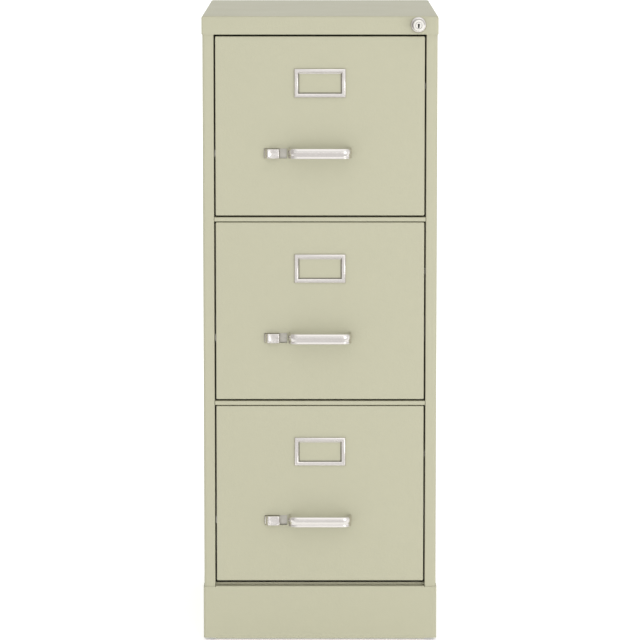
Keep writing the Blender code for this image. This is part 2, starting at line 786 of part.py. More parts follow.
def lock_bar():
    """Vertical bar with a sloping slot for the plunger's pin and a tab for each drawer."""
    near = FRONT_Y + 0.0205
    strip = 0.0160
    head = 0.0230
    high = CASE_HEIGHT - 0.0035
    head_low = high - 0.0280
    below_catch = 0.0150
    low = catch_top(DRAWER_COUNT - 1) - below_catch
    outline = [(near, low), (near + strip, low), (near + strip, head_low - 0.0100),
               (near + head, head_low), (near + head, high), (near, high)]
    mesh = prism("lock_bar", "YZ", outline, BAR_X, BAR_X + BAR_SHEET)
    pin_y = FRONT_Y + PIN_DEPTH
    pin_z = LOCK_Z - PIN_DROP
    slot_shape = stadium((pin_y, pin_z), (pin_y + LOCK_TRAVEL, pin_z + LOCK_TRAVEL),
                         PIN_RADIUS + GAP)
    mesh = cut(mesh, prism("slot", "YZ", slot_shape, BAR_X - SHEET, BAR_X + BAR_SHEET + SHEET))
    tab_near = FRONT_Y + CATCH_DEPTH - 0.0055
    tab_far = tab_near + 0.0030
    above_catch = 0.0025
    tab_height = 0.0100
    for index in range(DRAWER_COUNT):
        tab_low = catch_top(index) + above_catch
        tab = block("tab", (BAR_X - TAB_REACH, tab_near, tab_low),
                    (BAR_X + GAP, tab_far, tab_low + tab_height))
        mesh = join(mesh, tab)
    return mesh


def catch_top(index):
    """Height of the top of one drawer's lock catch."""
    return drawer_top(index) - FRONT_HEIGHT + CATCH_RISE + CATCH_HEIGHT


def lock():
    axis = empty_at("lock_axis", (LOCK_X, FRONT_Y, LOCK_Z))
    hang("lock_housing", lock_housing(), "chrome", axis)
    hang("lock_plunger", lock_plunger(), "chrome", axis)
    hang("lock_key_plug", key_plug(), "chrome", axis)
    add_object("lock_bar", lock_bar(), "zinc")


def main():
    clear_scene()
    for side in SIDES:
        side_panel(side)
        for row in ("front", "rear"):
            upright(row, side)
    top_cap()
    back_panel()
    kick_plate()
    base_pan()
    for name, x, y in glide_places():
        glide(name, x, y)
    for index in range(DRAWER_COUNT - 1):
        cross_rail(index)
    drawers()
    lock()


main()
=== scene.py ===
import math

import bmesh
import bpy
from mathutils import Matrix, Vector


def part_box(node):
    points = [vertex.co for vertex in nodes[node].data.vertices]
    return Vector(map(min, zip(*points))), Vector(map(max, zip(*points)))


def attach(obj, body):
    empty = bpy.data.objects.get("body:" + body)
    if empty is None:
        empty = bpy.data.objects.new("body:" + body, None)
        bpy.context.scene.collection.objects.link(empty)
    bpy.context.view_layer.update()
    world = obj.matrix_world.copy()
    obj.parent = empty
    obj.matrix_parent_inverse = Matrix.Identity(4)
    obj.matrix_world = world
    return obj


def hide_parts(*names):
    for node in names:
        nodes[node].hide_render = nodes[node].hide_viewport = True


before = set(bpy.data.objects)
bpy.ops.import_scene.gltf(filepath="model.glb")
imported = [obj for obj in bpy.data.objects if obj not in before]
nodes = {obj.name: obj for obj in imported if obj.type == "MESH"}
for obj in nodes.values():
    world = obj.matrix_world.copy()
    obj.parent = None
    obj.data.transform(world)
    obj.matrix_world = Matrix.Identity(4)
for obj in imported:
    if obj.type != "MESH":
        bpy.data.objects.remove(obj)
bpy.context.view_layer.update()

# Looks of the three-drawer filing cabinet: finishes for the sheet-metal nodes, finer fittings in
# place of the plain ones, the studio and the camera. Lengths are in metres, the front faces -Y.

DRAWERS = (1, 2, 3)
OUTWARD = {"left": -1, "right": 1}

SHEET_EDGE = 0.00025
PLUNGER_EDGE = 0.00015
SLIDE_SHEET = 0.0012
WELD_PITCH = 0.095
WELD_INSET = 0.0055

# ---------------------------------------------------------------- node helpers

NOISE_SPAN = (0.3, 0.7)  # where nearly all of a noise texture's values lie
FULL = (0.0, 1.0)


class Shader:
    """A material under construction: short names for the nodes that every finish here uses."""

    def __init__(self, name):
        self.material = bpy.data.materials.new(name)
        self.material.use_nodes = True
        self.tree = self.material.node_tree
        self.surface = self.tree.nodes["Principled BSDF"]
        self.place = self.add("ShaderNodeTexCoord").outputs["Object"]

    def add(self, kind, **settings):
        """A new node with the given settings."""
        node = self.tree.nodes.new(kind)
        for key, value in settings.items():
            setattr(node, key, value)
        return node

    def feed(self, socket, value):
        """Links another node's output to a socket, or sets the socket's own value."""
        if isinstance(value, bpy.types.NodeSocket):
            self.tree.links.new(value, socket)
        else:
            socket.default_value = value

    def math(self, operation, first, second=0.0):
        """Arithmetic on one or two values."""
        node = self.add("ShaderNodeMath", operation=operation)
        self.feed(node.inputs[0], first)
        self.feed(node.inputs[1], second)
        return node.outputs[0]

    def stretched(self, scale):
        """Object coordinates scaled by axis, so that a texture read there is drawn out."""
        node = self.add("ShaderNodeMapping")
        self.feed(node.inputs["Vector"], self.place)
        node.inputs["Scale"].default_value = scale
        return node.outputs[0]

    def noise(self, scale, detail=2.0, roughness=0.5, vector=None):
        """Soft noise, mostly within NOISE_SPAN."""
        node = self.add("ShaderNodeTexNoise")
        self.feed(node.inputs["Vector"], vector or self.place)
        node.inputs["Scale"].default_value = scale
        node.inputs["Detail"].default_value = detail
        node.inputs["Roughness"].default_value = roughness
        return node.outputs["Fac"]

    def cells(self, scale, output="Distance"):
        """Voronoi cells: the distance to the nearest centre, or a colour for each cell."""
        node = self.add("ShaderNodeTexVoronoi")
        self.feed(node.inputs["Vector"], self.place)
        node.inputs["Scale"].default_value = scale
        return node.outputs[output]

    def remap(self, value, source, target):
        """A value carried from one range to another and held within it."""
        node = self.add("ShaderNodeMapRange")
        self.feed(node.inputs["Value"], value)
        node.inputs["From Min"].default_value, node.inputs["From Max"].default_value = source
        node.inputs["To Min"].default_value, node.inputs["To Max"].default_value = target
        return node.outputs[0]

    def tint(self, factor, low, high):
        """A mix of two colours, each given as numbers or as another node's output."""
        node = self.add("ShaderNodeMix", data_type="RGBA")
        self.feed(node.inputs["Factor"], factor)
        for socket, color in (("A", low), ("B", high)):
            linked = isinstance(color, bpy.types.NodeSocket)
            self.feed(node.inputs[socket], color if linked else (*color, 1.0))
        return node.outputs["Result"]

    def edges(self, radius):
        """About 0 on flat faces and 1 where the surface turns sharply within the radius."""
        softened = self.add("ShaderNodeBevel", samples=4)
        softened.inputs["Radius"].default_value = radius
        true_normal = self.add("ShaderNodeNewGeometry").outputs["Normal"]
        compare = self.add("ShaderNodeVectorMath", operation="DOT_PRODUCT")
        self.feed(compare.inputs[0], softened.outputs[0])
        self.feed(compare.inputs[1], true_normal)
        return self.remap(compare.outputs["Value"], (0.999, 0.90), FULL)

    def corners(self, distance):
        """About 1 in the open and falling towards 0 deep in seams and corners."""
        node = self.add("ShaderNodeAmbientOcclusion", samples=4)
        node.inputs["Distance"].default_value = distance
        return node.outputs["AO"]

    def bump(self, height, distance, normal=None):
        """Surface normals of a relief, laid over those of another relief if one is given."""
        node = self.add("ShaderNodeBump")
        node.inputs["Distance"].default_value = distance
        self.feed(node.inputs["Height"], height)
        if normal is not None:
            self.feed(node.inputs["Normal"], normal)
        return node.outputs["Normal"]

    def finish(self, color, roughness, metallic, normal):
        """The finished material."""
        self.feed(self.surface.inputs["Base Color"], color)
        self.feed(self.surface.inputs["Roughness"], roughness)
        self.feed(self.surface.inputs["Metallic"], metallic)
        self.feed(self.surface.inputs["Normal"], normal)
        return self.material


# ---------------------------------------------------------------- finishes


def weld_marks(shader, across, columns):
    """Height of the coat over spot welds: shallow dimples in columns, spaced evenly up the sheet."""
    dimple = (0.0016, 0.0034)
    place = shader.add("ShaderNodeSeparateXYZ")
    shader.feed(place.inputs[0], shader.place)
    along = shader.math("MODULO", place.outputs["Z"], WELD_PITCH)
    along = shader.math("ABSOLUTE", shader.math("SUBTRACT", along, WELD_PITCH / 2))
    offsets = [shader.math("ABSOLUTE", shader.math("SUBTRACT", place.outputs[across], column))
               for column in columns]
    nearest = offsets[0]
    for offset in offsets[1:]:
        nearest = shader.math("MINIMUM", nearest, offset)
    squares = [shader.math("MULTIPLY", distance, distance) for distance in (along, nearest)]
    radius = shader.math("SQRT", shader.math("ADD", *squares))
    return shader.remap(radius, dimple, FULL)


def powder_coat(name="putty_powder_coat", across=None, columns=()):
    """Putty powder coat: fine pebbled skin, faint mottling, thin bright edges that are partly wear and
    partly painted highlight, painted shade in seams and, where weld columns are given, painted shade in the
    weld dimples.
    """
    putty = (0.373, 0.362, 0.261)
    pale_putty = (0.388, 0.378, 0.273)
    cool_putty = (0.365, 0.359, 0.260)
    worn_edge_highlight = (0.50, 0.488, 0.378)
    painted_seam_shade = (0.30, 0.275, 0.17)
    painted_weld_shade = (0.26, 0.245, 0.16)
    shader = Shader(name)
    drift = shader.noise(2.3, 3.0, 0.55)
    mottle = shader.noise(55.0, 4.0, 0.6)
    base = shader.tint(drift, putty, pale_putty)
    base = shader.tint(shader.remap(mottle, NOISE_SPAN, (0.0, 0.35)), base, cool_putty)
    broken = shader.remap(mottle, NOISE_SPAN, (0.15, 0.6))
    # Lighter putty on sharp edges: partly wear, partly a painted highlight.
    wear_and_highlight = shader.math("MULTIPLY", shader.edges(0.0012), broken)
    base = shader.tint(wear_and_highlight, base, worn_edge_highlight)
    # Painted shade: the coat turns a darker putty deep in seams and corners, where ambient occlusion is
    # low.
    seam_shade = shader.remap(shader.corners(0.006), (0.15, 0.7), (0.34, 0.0))
    base = shader.tint(seam_shade, base, painted_seam_shade)
    shape = None
    if columns:
        welds = weld_marks(shader, across, columns)
        # Painted shade in the weld dimples.
        base = shader.tint(shader.remap(welds, FULL, (0.30, 0.0)), base, painted_weld_shade)
        shape = shader.bump(shader.noise(4.0, 1.0, 0.4), 0.0010)
        shape = shader.bump(welds, 0.00030, shape)
    pebble = shader.noise(950.0, 2.0, 0.5)
    orange_peel = shader.noise(240.0, 2.0, 0.45)
    skin = shader.math("ADD", pebble, shader.math("MULTIPLY", orange_peel, 1.6))
    smear = shader.noise(1.0, 4.0, 0.6, shader.stretched((9.0, 9.0, 3.0)))
    roughness = shader.remap(smear, (0.25, 0.75), (0.44, 0.52))
    shader.surface.inputs["Specular IOR Level"].default_value = 0.36
    return shader.finish(base, roughness, 0.0, shader.bump(skin, 0.00014, shape))


def bright_plate():
    """Satin nickel-chrome: soft brushed grain, tiny pits and painted shade in the hollows."""
    nickel = (0.635, 0.608, 0.580)
    pale_nickel = (0.675, 0.648, 0.618)
    painted_hollow_shade = (0.34, 0.32, 0.28)
    shader = Shader("satin_nickel_chrome")
    grain = shader.noise(1.0, 3.0, 0.6, shader.stretched((60.0, 900.0, 900.0)))
    cloud = shader.noise(38.0, 3.0, 0.5)
    base = shader.tint(cloud, nickel, pale_nickel)
    # Painted shade: the plating darkens in hollows and corners, where ambient occlusion is low.
    hollow_shade = shader.remap(shader.corners(0.004), (0.1, 0.6), (0.45, 0.0))
    base = shader.tint(hollow_shade, base, painted_hollow_shade)
    roughness = shader.math("ADD", shader.remap(cloud, NOISE_SPAN, (0.17, 0.22)),
                            shader.remap(grain, NOISE_SPAN, (0.0, 0.07)))
    pits = shader.remap(shader.cells(420.0), (0.0, 0.10), FULL)
    relief = shader.math("ADD", grain, shader.math("MULTIPLY", pits, 0.6))
    return shader.finish(base, roughness, 1.0, shader.bump(relief, 0.000004))


def zinc_steel():
    """Bright zinc on rolled steel: small spangles, lengthwise rolling marks and painted shade in the seams.
    """
    dark_spangle = (0.45, 0.435, 0.385)
    light_spangle = (0.53, 0.512, 0.458)
    painted_zinc_seam_shade = (0.22, 0.21, 0.19)
    shader = Shader("zinc_plated_steel")
    channels = shader.add("ShaderNodeSeparateColor")
    shader.feed(channels.inputs[0], shader.cells(230.0, output="Color"))
    spangle = channels.outputs[0]
    rolled = shader.noise(1.0, 3.0, 0.6, shader.stretched((700.0, 22.0, 700.0)))
    base = shader.tint(spangle, dark_spangle, light_spangle)
    # Painted shade: the zinc darkens in seams and corners, where ambient occlusion is low.
    zinc_seam_shade = shader.remap(shader.corners(0.006), (0.1, 0.7), (0.55, 0.0))
    base = shader.tint(zinc_seam_shade, base, painted_zinc_seam_shade)
    roughness = shader.math("ADD", shader.remap(spangle, FULL, (0.27, 0.36)),
                            shader.remap(rolled, NOISE_SPAN, (0.0, 0.08)))
    return shader.finish(base, roughness, 1.0, shader.bump(rolled, 0.000010))


def nylon():
    """Dark moulded nylon with a fine spark texture and scuffs."""
    black = (0.022, 0.022, 0.023)
    scuffed = (0.075, 0.073, 0.068)
    shader = Shader("glide_nylon")
    spark = shader.noise(1400.0, 2.0, 0.5)
    scuff = shader.noise(70.0, 5.0, 0.7)
    base = shader.tint(shader.remap(scuff, (0.5, 0.75), (0.0, 0.6)), black, scuffed)
    roughness = shader.remap(scuff, NOISE_SPAN, (0.48, 0.66))
    return shader.finish(base, roughness, 0.0, shader.bump(spark, 0.00003))


def lock_face():
    """Polished nickel of the lock's core and plunger, faintly clouded."""
    shader = Shader("polished_nickel")
    cloud = shader.noise(120.0, 3.0, 0.5)
    base = shader.tint(cloud, (0.76, 0.74, 0.69), (0.82, 0.80, 0.75))
    roughness = shader.remap(cloud, NOISE_SPAN, (0.22, 0.30))
    polish = shader.noise(1500.0, 2.0, 0.5)
    return shader.finish(base, roughness, 1.0, shader.bump(polish, 0.000004))


def recess(name, dark, light):
    """Painted shade inside a slot: dull dark metal with lighter specks."""
    shader = Shader(name)
    speckle = shader.noise(600.0, 3.0, 0.5)
    base = shader.tint(speckle, dark, light)
    roughness = shader.remap(speckle, NOISE_SPAN, (0.5, 0.7))
    return shader.finish(base, roughness, 0.3, shader.bump(speckle, 0.00001))


UPRIGHT_EDGES = [corner.y for row in ("front", "rear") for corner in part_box(f"upright_{row}_left")]
BACK_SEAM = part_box("back_panel")[1].x - WELD_INSET
LOCK_FACE = lock_face()
# Painted shade materials: the inside of the keyway and the label frames' card channels.
KEYWAY = recess("keyway_painted_shade", (0.030, 0.028, 0.022), (0.060, 0.056, 0.045))
CARD_CHANNEL_SHADE = recess("card_channel_painted_shade", (0.085, 0.080, 0.058), (0.150, 0.142, 0.105))
SIDE_PAINT = powder_coat("putty_powder_coat_sides", "Y", UPRIGHT_EDGES)
BACK_PAINT = powder_coat("putty_powder_coat_back", "X", (-BACK_SEAM, BACK_SEAM))
FINISHES = {
    "putty_paint": powder_coat(),
    "bright_plate": bright_plate(),
    "zinc_steel": zinc_steel(),
    "glide_nylon": nylon(),
}

# ---------------------------------------------------------------- carried CAD nodes


def smooth_by_angle():
    """Geometry nodes that smooth rounded parts and keep every edge sharper than 40 degrees."""
    group = bpy.data.node_groups.new("smooth_by_angle", "GeometryNodeTree")
    group.interface.new_socket("Mesh", in_out="INPUT", socket_type="NodeSocketGeometry")
    group.interface.new_socket("Mesh", in_out="OUTPUT", socket_type="NodeSocketGeometry")
    entry = group.nodes.new("NodeGroupInput")
    leave = group.nodes.new("NodeGroupOutput")
    angle = group.nodes.new("GeometryNodeInputMeshEdgeAngle")
    gentle = group.nodes.new("FunctionNodeCompare")
    gentle.operation = "LESS_EQUAL"
    gentle.inputs[1].default_value = math.radians(40)
    faces = group.nodes.new("GeometryNodeSetShadeSmooth")
    edges = group.nodes.new("GeometryNodeSetShadeSmooth")
    edges.domain = "EDGE"
    group.links.new(entry.outputs[0], faces.inputs["Geometry"])
    group.links.new(faces.outputs[0], edges.inputs["Geometry"])
    group.links.new(angle.outputs["Unsigned Angle"], gentle.inputs[0])
    group.links.new(gentle.outputs[0], edges.inputs["Shade Smooth"])
    group.links.new(edges.outputs[0], leave.inputs[0])
    return group


SMOOTHING = smooth_by_angle()


def round_edges(obj, width, segments=2):
    """Rounds every edge where two faces meet at more than 50 degrees."""
    bevel = obj.modifiers.new("edges", "BEVEL")
    bevel.width = width
    bevel.segments = segments
    bevel.limit_method = "ANGLE"
    bevel.angle_limit = math.radians(50)


def soften(obj, width):
    """Welds a CAD node's facets, rounds its sheet edges by a hair and smooths its curves."""
    weld = obj.modifiers.new("weld", "WELD")
    weld.merge_threshold = 0.00001
    planar = obj.modifiers.new("planar", "DECIMATE")
    planar.decimate_type = "DISSOLVE"
    planar.angle_limit = math.radians(0.5)
    round_edges(obj, width)
    shading = obj.modifiers.new("smoothing", "NODES")
    shading.node_group = SMOOTHING
    flats = obj.modifiers.new("flat_faces", "WEIGHTED_NORMAL")
    flats.keep_sharp = True
    flats.weight = 100


def material_of(name):
    """The finish that a carried CAD node wears."""
    if name == "lock_plunger":
        return LOCK_FACE
    if name == "back_panel":
        return BACK_PAINT
    if name.endswith("side_panel"):
        return SIDE_PAINT
    if name.startswith("glide_"):
        return FINISHES["glide_nylon"]
    if name.startswith(("case_slide", "mid_slide", "drawer_slide", "latch_bar", "lock_bar")):
        return FINISHES["zinc_steel"]
    return FINISHES["putty_paint"]


def dress(name):
    """Gives a carried CAD node its finish and its rounded edges."""
    slot = nodes[name].material_slots[0]
    slot.link = "OBJECT"
    slot.material = material_of(name)
    soften(nodes[name], PLUNGER_EDGE if name == "lock_plunger" else SHEET_EDGE)


# ---------------------------------------------------------------- piece helpers


def add_piece(name, bm, body, finish, stands_for=(), angle=40):
    """Turns a bmesh into a piece that rides on a body and may stand for CAD nodes."""
    bmesh.ops.remove_doubles(bm, verts=bm.verts, dist=1e-6)
    bmesh.ops.recalc_face_normals(bm, faces=bm.faces)
    mesh = bpy.data.meshes.new(name)
    bm.to_mesh(mesh)
    bm.free()
    mesh.shade_smooth()
    mesh.set_sharp_from_angle(angle=math.radians(angle))
    mesh.materials.append(FINISHES[finish])
    obj = bpy.data.objects.new(name, mesh)
    bpy.context.scene.collection.objects.link(obj)
    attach(obj, body)
    if stands_for:
        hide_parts(*stands_for)
    return obj


def spline(points, steps):
    """A smooth closed curve through 2D points (Catmull-Rom)."""
    count = len(points)
    result = []
    for index in range(count):
        a, b, c, d = (Vector(points[(index + shift) % count]) for shift in (-1, 0, 1, 2))
        for step in range(steps):
            t = step / steps
            result.append(0.5 * (2 * b + (c - a) * t + (2 * a - 5 * b + 4 * c - d) * t * t
                                 + (3 * b - a - 3 * c + d) * t ** 3))
    return result


def loft(bm, rings):
    """Skins a list of equal closed rings and closes the first and the last."""
    rows = [[bm.verts.new(point) for point in ring] for ring in rings]
    for near, far in zip(rows, rows[1:]):
        for index in range(len(near)):
            after = (index + 1) % len(near)
            bm.faces.new((near[index], near[after], far[after], far[index]))
    bm.faces.new(rows[0])
    bm.faces.new(list(reversed(rows[-1])))


def turned_ring(bm, centre, profile, segments=72):
    """Adds a solid turned about +Y: (radius, distance) points round its closed section."""
    rings = []
    for step in range(segments):
        turn = math.tau * step / segments
        rings.append([bm.verts.new((centre.x + radius * math.cos(turn), centre.y + distance,
                                    centre.z + radius * math.sin(turn))) for radius, distance in profile])
    for index, near in enumerate(rings):
        far = rings[(index + 1) % segments]
        for corner in range(len(profile)):
            after = (corner + 1) % len(profile)
            bm.faces.new((near[corner], near[after], far[after], far[corner]))


def dome(bm, centre, outward, radius, height, steps=24):
    """Adds a low rivet head: a disc with a rounded crown that stands out along X."""
    levels = 5
    loops = []
    for level in range(levels):
        rise = math.radians(90 * level / levels)
        x = centre.x + outward * height * math.sin(rise)
        wide = radius * math.cos(rise)
        turns = [math.tau * step / steps for step in range(steps)]
        loops.append([bm.verts.new((x, centre.y + wide * math.cos(turn), centre.z + wide * math.sin(turn)))
                      for turn in turns])
    tip = bm.verts.new((centre.x + outward * height, centre.y, centre.z))
    for near, far in zip(loops, loops[1:]):
        for step in range(steps):
            after = (step + 1) % steps
            bm.faces.new((near[step], near[after], far[after], far[step]))
    for step in range(steps):
        bm.faces.new((loops[-1][step], loops[-1][(step + 1) % steps], tip))
    bm.faces.new(loops[0])


# ---------------------------------------------------------------- drawer fittings


def bail_path(left, right, front, back, bend):
    """Spots and outward directions along a bail: in from the left, round two bends, out to the right."""
    steps = 18
    path = [(Vector((left, back)), Vector((-1, 0)))]
    for centre_x, first in ((left + bend, 180), (right - bend, 270)):
        centre = Vector((centre_x, front + bend))
        for step in range(steps + 1):
            turn = math.radians(first + 90 * step / steps)
            outward = Vector((math.cos(turn), math.sin(turn)))
            path.append((centre + outward * bend, outward))
    path.append((Vector((right, back)), Vector((1, 0))))
    return path


def bail_handle(number):
    """Bail with a convex upper face, a finger hollow and a rolled lower lip."""
    low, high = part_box(f"handle_{number}")
    middle = (low.z + high.z) / 2
    section_height = 0.0165
    scale = (high.z - low.z) / section_height
    # (how far it stands out, height) round the band's section, from its top edge down the outside
    section = spline([
        (0.0000, 0.00822), (0.0011, 0.0079), (0.0020, 0.0064), (0.0025, 0.0042), (0.00255, 0.0017),
        (0.0022, -0.0008), (0.0015, -0.0030), (0.00125, -0.0046), (0.0016, -0.0059),
        (0.0021, -0.0069), (0.0020, -0.0078), (0.0013, -0.00822), (0.0004, -0.0080),
        (-0.0001, -0.0066), (-0.0005, -0.0040), (-0.0004, 0.0000), (-0.0002, 0.0036),
        (-0.0006, 0.0068),
    ], 3)
    band = 0.0026
    path = bail_path(low.x + band, high.x - band, low.y + band, high.y, bend=0.0140)
    bm = bmesh.new()
    loft(bm, [[(spot.x + out.x * lift, spot.y + out.y * lift, middle + z * scale) for lift, z in section]
              for spot, out in path])
    add_piece(f"bail_handle_{number}", bm, f"drawer_{number}", "bright_plate", [f"handle_{number}"])


def label_frame(number):
    """Mitred label frame with a crowned face and painted shade in the card channels left, right and below.
    """
    low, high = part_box(f"label_holder_{number}")
    # (inset from the outside, rise from the drawer) across the moulding, round its closed section
    moulding = [
        (0.0000, 0.0000), (0.0000, 0.0011), (0.0003, 0.0018), (0.0009, 0.0024), (0.0017, 0.0029),
        (0.0026, 0.0032), (0.0035, 0.0033), (0.0044, 0.0032), (0.0053, 0.0029), (0.0061, 0.0024),
        (0.0067, 0.0016), (0.0070, 0.0005), (0.0083, 0.0004), (0.0083, 0.0000),
    ]
    channel = 11  # the band from this point of the moulding to the next
    sides = 4
    upper_side = 2
    bm = bmesh.new()
    loops = []
    for inset, rise in moulding:
        ring = [(low.x + inset, low.z + inset), (high.x - inset, low.z + inset),
                (high.x - inset, high.z - inset), (low.x + inset, high.z - inset)]
        loops.append([bm.verts.new((x, high.y - rise, z)) for x, z in ring])
    for index, loop in enumerate(loops):
        inner = loops[(index + 1) % len(loops)]
        for side in range(sides):
            after = (side + 1) % sides
            face = bm.faces.new((loop[side], loop[after], inner[after], inner[side]))
            # Painted shade: the channel band goes dark on the left, right and lower sides, not on the upper
            # side.
            face.material_index = int(index == channel and side != upper_side)
    piece = add_piece(f"label_frame_{number}", bm, f"drawer_{number}", "bright_plate",
                      [f"label_holder_{number}"], angle=30)
    piece.data.materials.append(CARD_CHANNEL_SHADE)
    round_edges(piece, 0.0003)


def thumb_button(number):
    """Thumb button: sloped left side, hollowed face and rounded edges."""
    low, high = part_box(f"latch_button_{number}")
    middle = (low.z + high.z) / 2
    depth = high.y - low.y
    left_depth = 0.48
    slope_end = 0.24
    hollow_start = 0.26
    hollow_length = 0.66
    hollow_depth = 0.0018
    right_round = 0.07
    right_drop = 0.10
    crown = 0.0012
    corner = 0.0006
    corner_length = 0.05
    rows = 10
    columns = 26
    rings = []
    for column in range(columns + 1):
        along = column / columns
        slope = min(1.0, along / slope_end)
        reach = slope * slope * (3 - 2 * slope)
        end = max(0.0, (along - 1 + right_round) / right_round)
        face = left_depth + (1 - left_depth) * reach - right_drop * end * end
        dish = hollow_depth * math.sin(math.pi * min(1.0, max(0.0, (along - hollow_start) / hollow_length)))
        half = (high.z - low.z) / 2 - corner * max(0.0, 1 - along / corner_length) - corner * end * end
        x = low.x + (high.x - low.x) * along
        ring = [(x, high.y, middle - half)]
        for row in range(rows + 1):
            across = -1 + 2 * row / rows
            hollow = dish * (1 - across * across) ** 0.5
            y = high.y - depth * face + crown * abs(across) ** 6 + hollow
            ring.append((x, y, middle + half * across))
        ring.append((x, high.y, middle + half))
        rings.append(ring)
    bm = bmesh.new()
    loft(bm, rings)
    piece = add_piece(f"thumb_button_{number}", bm, f"latch_{number}", "bright_plate",
                      [f"latch_button_{number}"], angle=50)
    round_edges(piece, 0.0004, segments=3)


def slide_rivets(side, number):
    """Rivets that fasten a drawer's slide member to the tray."""
    low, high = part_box(f"drawer_slide_{side}_{number}")
    outward = OUTWARD[side]
    web = (high.x if side == "left" else low.x) + outward * SLIDE_SHEET
    bm = bmesh.new()
    for share in (0.05, 0.34, 0.64, 0.94):
        spot = Vector((web, low.y + (high.y - low.y) * share, (low.z + high.z) / 2))
        dome(bm, spot, outward, radius=0.0034, height=0.0011)
    add_piece(f"slide_rivets_{side}_{number}", bm, f"drawer_{number}", "zinc_steel", angle=50)


def ball_cages(side, number):
    """Two rows of bearing balls, each in a thin strip, at the front of a middle slide member."""
    low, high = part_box(f"mid_slide_{side}_{number}")
    inner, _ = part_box(f"drawer_slide_{side}_{number}")
    balls = 8
    ball_radius = 0.0017
    pitch = 0.0062
    strip_size = (0.0022, (balls + 1) * pitch, 0.0008, 1.0)
    x = (low.x + high.x) / 2 - OUTWARD[side] * 0.0008
    start = low.y + 0.0090
    middle = (low.z + high.z) / 2
    drop = middle - (low.z + SLIDE_SHEET + inner.z) / 2
    bm = bmesh.new()
    for z in (middle - drop, middle + drop):
        for ball in range(balls):
            place = Matrix.Translation((x, start + ball * pitch, z))
            bmesh.ops.create_icosphere(bm, subdivisions=2, radius=ball_radius, matrix=place)
        centre = Matrix.Translation((x, start + (balls - 1) / 2 * pitch, z))
        bmesh.ops.create_cube(bm, size=1.0, matrix=centre @ Matrix.Diagonal(strip_size))
    add_piece(f"ball_cage_{side}_{number}", bm, f"mid_slides_{number}", "zinc_steel", angle=50)


# ---------------------------------------------------------------- lock

COLLAR_BORE = 0.0095
COLLAR_BARREL = 0.0106
COLLAR_FLANGE = 0.0035
KEYWAY_TOP = 0.0016
KEYWAY_RISE = 0.0012
KEYWAY_DROP = 0.0045
KEYWAY_HALF_WIDTH = 0.0015
KEYWAY_HALF_TIP = 0.0007
KEYWAY_DEPTH = 0.0100


def lock_collar():
    """Turned collar of the lock: a domed flange on a barrel that the plunger slides in."""
    low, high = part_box("lock_housing")
    centre = Vector(((low.x + high.x) / 2, 0.0, (low.z + high.z) / 2))
    outer = (high.x - low.x) / 2
    face = low.y
    bm = bmesh.new()
    turned_ring(bm, centre, [
        (COLLAR_BORE, face + 0.0004), (COLLAR_BORE + 0.0003, face),
        (outer - 0.0029, face), (outer - 0.0023, face + 0.0003),
        (outer - 0.0010, face + 0.0013), (outer - 0.0002, face + 0.0024),
        (outer, face + 0.0030), (outer, face + COLLAR_FLANGE),
        (COLLAR_BARREL, face + COLLAR_FLANGE), (COLLAR_BARREL, high.y), (COLLAR_BORE, high.y),
    ])
    add_piece("lock_collar", bm, "cabinet", "bright_plate", ["lock_housing"], angle=30)


def keyway_reach(direction):
    """Distance from the core's axis to the keyway's edge: round on top, tapering below."""
    along = direction.y * KEYWAY_RISE
    if direction.y >= -0.2:
        return along + math.sqrt(max(along ** 2 - KEYWAY_RISE ** 2 + KEYWAY_TOP ** 2, 0.0))
    down = -direction.y
    taper = (KEYWAY_HALF_WIDTH - KEYWAY_HALF_TIP) / KEYWAY_DROP
    flank = KEYWAY_HALF_WIDTH / (abs(direction.x) + taper * down)
    return min(flank, KEYWAY_DROP / down)


def key_core():
    """Turning core of the lock with a teardrop keyway, painted dark inside as shade."""
    low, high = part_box("lock_key_plug")
    centre = (low + high) / 2
    radius = (high.x - low.x) / 2
    steps = 72
    turns = [math.tau * step / steps for step in range(steps)]
    circle = [Vector((math.cos(turn), math.sin(turn))) for turn in turns]
    slot = [direction * keyway_reach(direction) for direction in circle]
    chamfer = 0.0003
    sections = [
        ([spoke * radius for spoke in circle], high.y),
        ([spoke * radius for spoke in circle], low.y + 0.0004),
        ([spoke * (radius - chamfer) for spoke in circle], low.y),
        ([edge * 1.08 for edge in slot], low.y),
        (slot, low.y + 0.0002),
        (slot, low.y + KEYWAY_DEPTH),
    ]
    bm = bmesh.new()
    loft(bm, [[(centre.x + flat.x, y, centre.z + flat.y) for flat in outline] for outline, y in sections])
    piece = add_piece("key_core", bm, "lock_key_plug", "bright_plate", ["lock_key_plug"], angle=30)
    piece.data.materials[0] = LOCK_FACE
    piece.data.materials.append(KEYWAY)
    # Painted shade on the keyway's inner walls.
    for face in piece.data.polygons:
        sunk = low.y + chamfer < face.center.y < high.y - 0.0001
        off_axis = math.hypot(face.center.x - centre.x, face.center.z - centre.z)
        face.material_index = int(sunk and off_axis < 0.92 * radius)


# ---------------------------------------------------------------- assembly

REPLACED = ("handle_", "label_holder_", "latch_button_", "lock_housing", "lock_key_plug")

for name in nodes:
    if not name.startswith(REPLACED):
        dress(name)

for number in DRAWERS:
    bail_handle(number)
    label_frame(number)
    thumb_button(number)
    for side in OUTWARD:
        slide_rivets(side, number)
        ball_cages(side, number)
lock_collar()
key_core()

# ---------------------------------------------------------------- studio

WHITE = (1.0, 1.0, 1.0, 1.0)
FRONT_MIDDLE = Vector((0.0, -0.26, 0.70))
CAMERA_DISTANCE = 6.0
CAMERA_RISE = 0.3003
CAMERA_TILT = 7.52
CAMERA_LENS = 210.05


